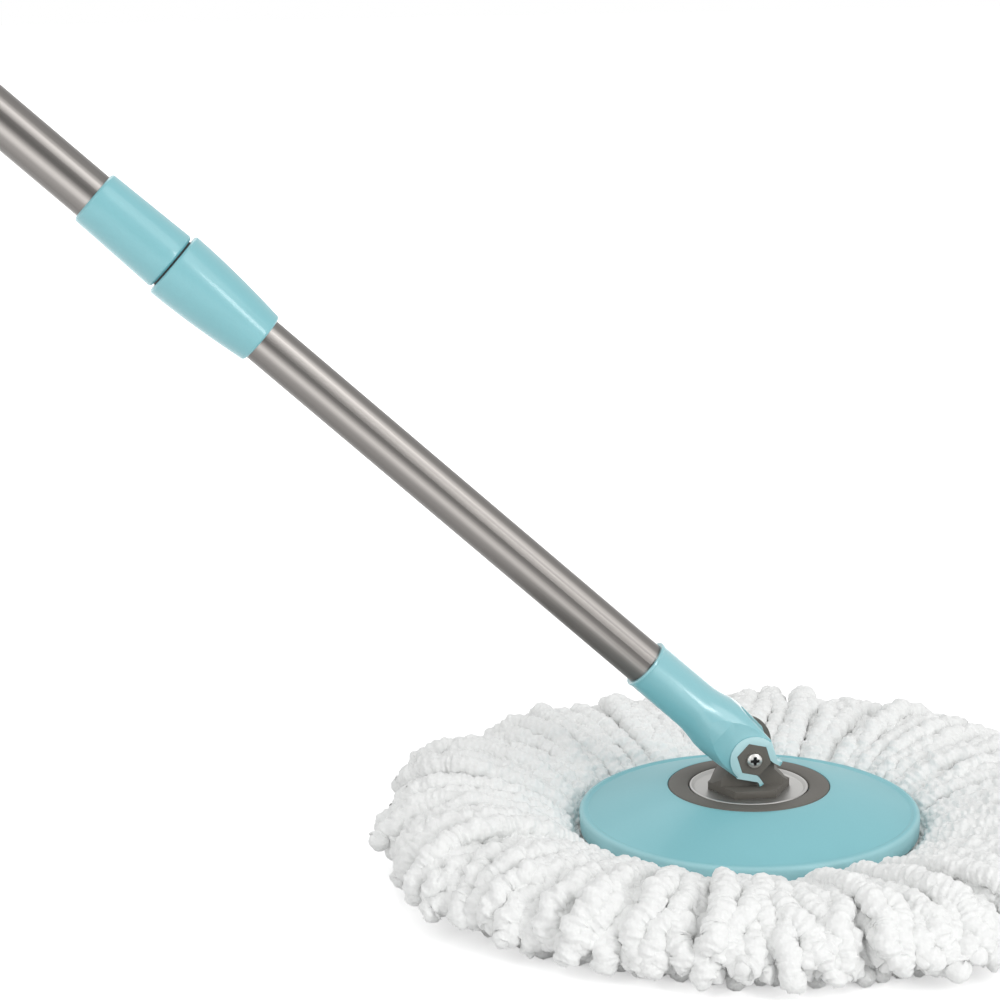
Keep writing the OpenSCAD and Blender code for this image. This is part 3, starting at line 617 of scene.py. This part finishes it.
KNUCKLE_AT, KNUCKLE_WIDTH = 0.17, 0.10    # the bend just outside the skirt, on the scale of OUT
KNUCKLE_RISE, KNUCKLE_VARIES = 2.6, 3.0   # its height and how much that changes, mm
KNUCKLE_HARMONICS = (29, 36, 43)
STOPS = (0.88, 1.0)             # shares of the full way at which yarns end
FLOOR_YARN = 4.6                # height of the lowest centre lines, mm
FREE_FROM, FREE_OVER = 0.12, 0.35    # share of the way where wander begins, and over which it grows
WAVES = (0.8, 2.0)                   # slow waves in the full way
SIDE_WAVE, BOB_WAVE = 3.4, 1.2       # how far they go sideways and up, mm
BOB_RATE = 1.3                       # waves up for each one sideways
CRIMPS = (4.5, 7.5)                  # quick waves in the full way
SIDE_CRIMP, BOB_CRIMP = 0.8, 0.6     # and how far they go, mm
SPLAY, MOST_SPLAY = 6.5, 13          # usual and largest sideways lean at the tip, mm
SPLAY_FROM = 0.3                     # share of the way where it begins
TIP_POWER = 1.5                 # how late curl and splay set in
FLOOR_FAN_R = 158.0             # how far the yarns on the floor reach, mm
FLOOR_STARTS = [12.0, 24.0, 44.0]    # where every eighth, every fourth and every second starts, mm
OTHER_STARTS = 80.0             # and where the rest do
FLOOR_WAVE = 1.6                # how far they stray sideways, mm
FLOOR_YARN_R = 0.84 * YARN_R


def drifting(rng, azimuth, harmonics):
    """A smooth random wave round the circle, between about -1 and 1: a few sines of the azimuth added up."""
    total = np.zeros_like(azimuth)
    for n in harmonics:
        total += np.sin(n * azimuth + rng.uniform(0, TAU))
    return total / math.sqrt(len(harmonics))


def round_axis(r, side, azimuth, z):
    """Points in metres from a radius, a step sideways and a height in mm, one azimuth for each yarn."""
    a = azimuth[:, None]
    return np.stack([r * np.cos(a) - side * np.sin(a), r * np.sin(a) + side * np.cos(a), z], axis=-1) * MM


def side_views(rng, azimuth, bunch, level, steps):
    """The side view of each draped yarn, (yarns, steps, 2), as radius and height in mm.
    radius = (skirt + (head - skirt) * OUT) * (1 + reach * OUT) + curl, and
    height = floor + lift * share * (RISE + curl) + knuckle, where lift is more on the mat's high side, share
    is the yarn's own part of it, reach is more at the lobes, and curl kicks the last stretch out and up."""
    count = len(azimuth)
    lift = MAT_LIFT * (1 + HIGH_SIDE_GAIN * np.clip(np.cos(azimuth - HIGH_SIDE), 0, 1) ** 2)
    share = level * (MEAN_SHARE + BUNCH_GAIN * bunch + rng.uniform(-OWN_GAIN, OWN_GAIN, count))
    reach = REACH_GAIN * drifting(rng, azimuth, REACH_HARMONICS) + rng.uniform(*OWN_REACH, count)
    for lobe in LOBES:
        reach += LOBE_REACH * np.clip(np.cos(azimuth - math.radians(lobe)), 0, 1) ** LOBE_POWER
    curl = rng.uniform(0, 1, (count, 1)) ** CURL_POWER
    tip = np.clip((np.arange(len(OUT)) - CREST) / (len(OUT) - 1 - CREST), 0, 1) ** TIP_POWER
    base = SKIRT_R + (HEAD_R - SKIRT_R) * OUT
    radius = base * (1 + np.outer(reach - LOWER_REACH * (1 - level), np.clip(OUT, 0, 1)))
    radius = radius + CURL_OUT * curl * tip
    knuckle = np.exp(-((OUT - KNUCKLE_AT) / KNUCKLE_WIDTH) ** 2)
    knuckle_drift = drifting(rng, azimuth, KNUCKLE_HARMONICS)
    knuckle_rise = level * (KNUCKLE_RISE + KNUCKLE_VARIES * knuckle_drift)
    height = FLOOR_YARN + (lift * share)[:, None] * (RISE + CURL_UP * curl * tip)
    height = height + np.outer(knuckle_rise, knuckle)
    return through(np.stack([radius, height], axis=-1), steps)


def wander(rng, u, level):
    """How far each yarn strays sideways and up from its side view, in mm, at the share u of the full way:
    a slow and a quick sine, free once the yarn has left the skirt, and a sideways splay towards the tip."""
    count = len(u)
    free = np.clip((u - FREE_FROM) / FREE_OVER, 0, 1)
    tip = np.clip((u - SPLAY_FROM) / (1 - SPLAY_FROM), 0, 1) ** TIP_POWER
    waves = rng.uniform(*WAVES, (count, 1))
    shift = rng.uniform(0, TAU, (4, count, 1))
    side = SIDE_WAVE * free * np.sin(TAU * waves * u + shift[0])
    side += np.clip(rng.normal(0, SPLAY, (count, 1)), -MOST_SPLAY, MOST_SPLAY) * tip
    bob = BOB_WAVE * free * level * np.sin(TAU * waves * BOB_RATE * u + shift[1])
    crimps = rng.uniform(*CRIMPS, (count, 1))
    side += SIDE_CRIMP * free * np.sin(TAU * crimps * u + shift[2])
    bob += BOB_CRIMP * free * level * np.sin(TAU * crimps * u + shift[3])
    return side, bob


def fan(level, count, seed, rings):
    """Spines of yarns that leave the disc's skirt like a fan, bend over the edge of the mat and fall to the
    floor, in metres. level is 1 for the top of the mat and less for the yarns packed under it. Neighbours
    share most of their height and lean, so that they fall into bunches, and each yarn stops a little
    short of the full way."""
    rng = np.random.default_rng(seed)
    pitch = TAU / count
    azimuth = (np.arange(count) + rng.uniform(-JITTER, JITTER, count)) * pitch + rng.uniform(0, pitch)
    bunch = drifting(rng, azimuth, BUNCH_HARMONICS)
    azimuth = azimuth + LEAN_TOGETHER * pitch * drifting(rng, azimuth, LEAN_HARMONICS)
    steps = rings * 2
    flat = side_views(rng, azimuth, bunch, level, steps)
    stop = rng.uniform(*STOPS, (count, 1)) * (steps - 1)
    near = np.linspace(0, 1, rings)[None, :] * stop
    flat = np.take_along_axis(flat, np.rint(near).astype(int)[..., None], axis=1)
    side, bob = wander(rng, near / (steps - 1), level)
    return round_axis(flat[..., 0], side, azimuth, np.maximum(flat[..., 1] + bob, FLOOR_YARN))


def floor_fan(count, seed, rings):
    """Spines of the yarns that lie on the floor, in metres: straight spokes with a sideways sine that grows
    outwards. Every eighth starts near the middle, every fourth, every second and the rest further out, so
    that the underside is filled and nowhere crowded."""
    rng = np.random.default_rng(seed)
    number = np.arange(count)
    start = np.select([number % 8 == 0, number % 4 == 0, number % 2 == 0], FLOOR_STARTS, OTHER_STARTS)
    azimuth = (number + rng.uniform(-0.15, 0.15, count)) * TAU / count
    stop = FLOOR_FAN_R * (1 + rng.uniform(-0.03, 0.015, count))
    u = np.linspace(0, 1, rings)[None, :]
    r = start[:, None] + (stop - start)[:, None] * u
    waves = rng.uniform(1, 3, (count, 1))
    side = FLOOR_WAVE * u * np.sin(TAU * (waves * u + rng.uniform(0, 1, (count, 1))))
    return round_axis(r, side, azimuth, np.full_like(r, FLOOR_YARN))


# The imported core's section, as radius and height in mm
CORE_SECTION = [(80, 2), (118, 1.5), (148, 2), (154, 8), (154, 17), (149, 24), (138, 28), (122, 26.5),
                (106, 20), (95, 13), (86, 8.5), (80, 8)]
CORE_WAVES = [(97, 2), (71, -3), (53, 5)]    # in a turn of the ring, and round its section
CORE_TURNS, CORE_STATIONS = 720, 44          # steps of the mesh the same two ways
CORE_LEAST = 1.0                             # its least height, mm
CORE_PARTS = (40, 15)                        # a wave moves a point by one part in so many, outwards and up


def packed_core(name):
    """The inner yarns, packed close and seen only between the outer ones: a closed ring whose section is a
    smooth loop. Each point moves from or to the section's middle by a share of its distance, which is a sum
    of sines round the ring and round the section."""
    loop = through(np.array(CORE_SECTION + CORE_SECTION[:1], float), CORE_STATIONS + 1)[:-1]
    a = np.arange(CORE_TURNS)[:, None] * TAU / CORE_TURNS
    t = np.arange(CORE_STATIONS)[None, :] * TAU / CORE_STATIONS
    wave = 0.5 * sum(np.sin(round_ring * a + round_section * t) for round_ring, round_section in CORE_WAVES)
    centre = loop.mean(axis=0)
    r = loop[:, 0] + wave * (loop[:, 0] - centre[0]) / CORE_PARTS[0]
    z = np.maximum(loop[:, 1] + wave * (loop[:, 1] - centre[1]) / CORE_PARTS[1], CORE_LEAST)
    points = np.stack([r * np.cos(a), r * np.sin(a), z], axis=-1).reshape(-1, 3) * MM
    i = np.arange(CORE_TURNS)[:, None] * CORE_STATIONS
    j = np.arange(CORE_STATIONS)[None, :]
    i2 = (i + CORE_STATIONS) % (CORE_TURNS * CORE_STATIONS)
    j2 = (j + 1) % CORE_STATIONS
    quads = np.stack([i + j, i2 + j, i2 + j2, i + j2], axis=-1)
    return new_mesh(name, points, quads.ravel(), np.full(CORE_TURNS * CORE_STATIONS, 4))


def on_head(made):
    """Puts a piece of yarn work on the head, in the place of the plain strand solid."""
    made.data.materials.append(FINISHES["strands"])
    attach(made, "head")
    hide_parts("mop_strands")


# Name, level, yarns, rings and sides of each yarn, seed, and how many pieces the layer is cut into
LAYERS = [
    ("strands_top", 1.00, 116, 180, 14, 11, 4),
    ("strands_upper", 0.82, 112, 120, 12, 12, 2),
    ("strands_middle", 0.56, 100, 64, 10, 13, 1),
]

for name, level, count, rings, sides, seed, pieces in LAYERS:
    spines = fan(level, count, seed, rings)
    for part, group in enumerate(np.array_split(spines, pieces)):
        on_head(ropes(f"{name}_{part + 1}", group, YARN_R, sides, seed + 100 + part))
on_head(ropes("strands_floor", floor_fan(count=112, seed=14, rings=50), FLOOR_YARN_R, sides=10, seed=114))
on_head(packed_core("strands_core"))

# ------------------------------------------------------------------ stage

FLOOR_SIZE = 60.0           # metres
FLOOR_GLOW = 0.46           # how white the floor is lit at the object, where it is seen
FLOOR_FADE = (0.3, 1.3)     # where it turns to pure white, as metres from the middle
FADE_GLOW = 0.8             # how much whiter it gets there
FLOOR_SEEN = scaled(WHITE, 0.95)
FLOOR_BOUNCE = scaled(WHITE, 0.86)


def stage_floor():
    """A pale floor. To the eye and in mirrors it is lit white, which fades to pure white further off and
    keeps the object's shadow. To the light itself it is unlit and a little greyer, so that less bounces
    back up."""
    bpy.ops.mesh.primitive_plane_add(size=FLOOR_SIZE, location=(0.0, 0.0, 0.0))
    floor = bpy.context.object
    floor.name = "floor"
    net = new_material("pale_floor", roughness=0.9, specular_ior_level=0.0, emission_strength=1.0)
    seen = net.seen()
    x, y, _ = net.axes(net.place())
    glow = seen * (radius_of(x, y).between(*FLOOR_FADE) * FADE_GLOW + FLOOR_GLOW)
    net.drive(base_color=net.mix(seen, FLOOR_BOUNCE, FLOOR_SEEN), emission_color=net.mix(glow, BLACK, WHITE))
    floor.data.materials.append(net.owner)


def stage_world(level):
    """White where it is seen or mirrored, and an even grey dome of light otherwise."""
    world = bpy.data.worlds.new("studio")
    bpy.context.scene.world = world
    net = Net(world, "Background", color=WHITE)
    net.drive(strength=level + net.seen() * (1.0 - level))


def lamp(name, place, target, size, power):
    """A soft lamp, width by height in metres, that faces a point."""
    data = bpy.data.lights.new(name, "AREA")
    data.shape = "RECTANGLE"
    data.size, data.size_y = size
    data.energy = power
    made = new_object(name, data)
    made.location = place
    made.rotation_mode = "QUATERNION"
    made.rotation_quaternion = (Vector(target) - Vector(place)).to_track_quat("-Z", "Y")


def stage_camera(place, yaw, pitch, roll, focal):
    """A camera turned by yaw from +Y towards +X, tipped down by pitch and rolled, in degrees. focal is in
    mm for a sensor 36 mm wide."""
    yaw, pitch, roll = math.radians(yaw), math.radians(pitch), math.radians(roll)
    ahead = Vector((math.sin(yaw) * math.cos(pitch), math.cos(yaw) * math.cos(pitch), -math.sin(pitch)))
    level_right = Vector((math.cos(yaw), -math.sin(yaw), 0.0))
    level_up = level_right.cross(ahead)
    right = math.cos(roll) * level_right + math.sin(roll) * level_up
    up = math.cos(roll) * level_up - math.sin(roll) * level_right
    data = bpy.data.cameras.new("camera")
    data.lens = focal
    data.sensor_width = 36.0
    data.clip_start = 0.05
    data.clip_end = 100.0
    camera = new_object("camera", data)
    camera.matrix_world = Matrix.Translation(place) @ Matrix((right, up, -ahead)).transposed().to_4x4()
    bpy.context.scene.camera = camera


ABOVE_HEAD = (0.0, 0.0, 0.1)
stage_floor()
stage_world(0.665)
lamp("key", (1.17, -1.25, 1.95), ABOVE_HEAD, (1.4, 1.4), power=9.5)
lamp("window", (1.05, -1.62, 0.74), (-0.1, 0.0, 0.15), (0.32, 0.9), power=9.0)
lamp("fill", (-1.7, -1.5, 1.5), ABOVE_HEAD, (1.6, 1.6), power=9.5)
lamp("rim", (-0.4, 1.9, 1.9), ABOVE_HEAD, (1.2, 1.2), power=6.0)
stage_camera((-0.2079, -1.0454, 0.4070), yaw=5.05, pitch=12.33, roll=-1.05, focal=84.86)
bpy.context.scene.view_settings.view_transform = "Standard"
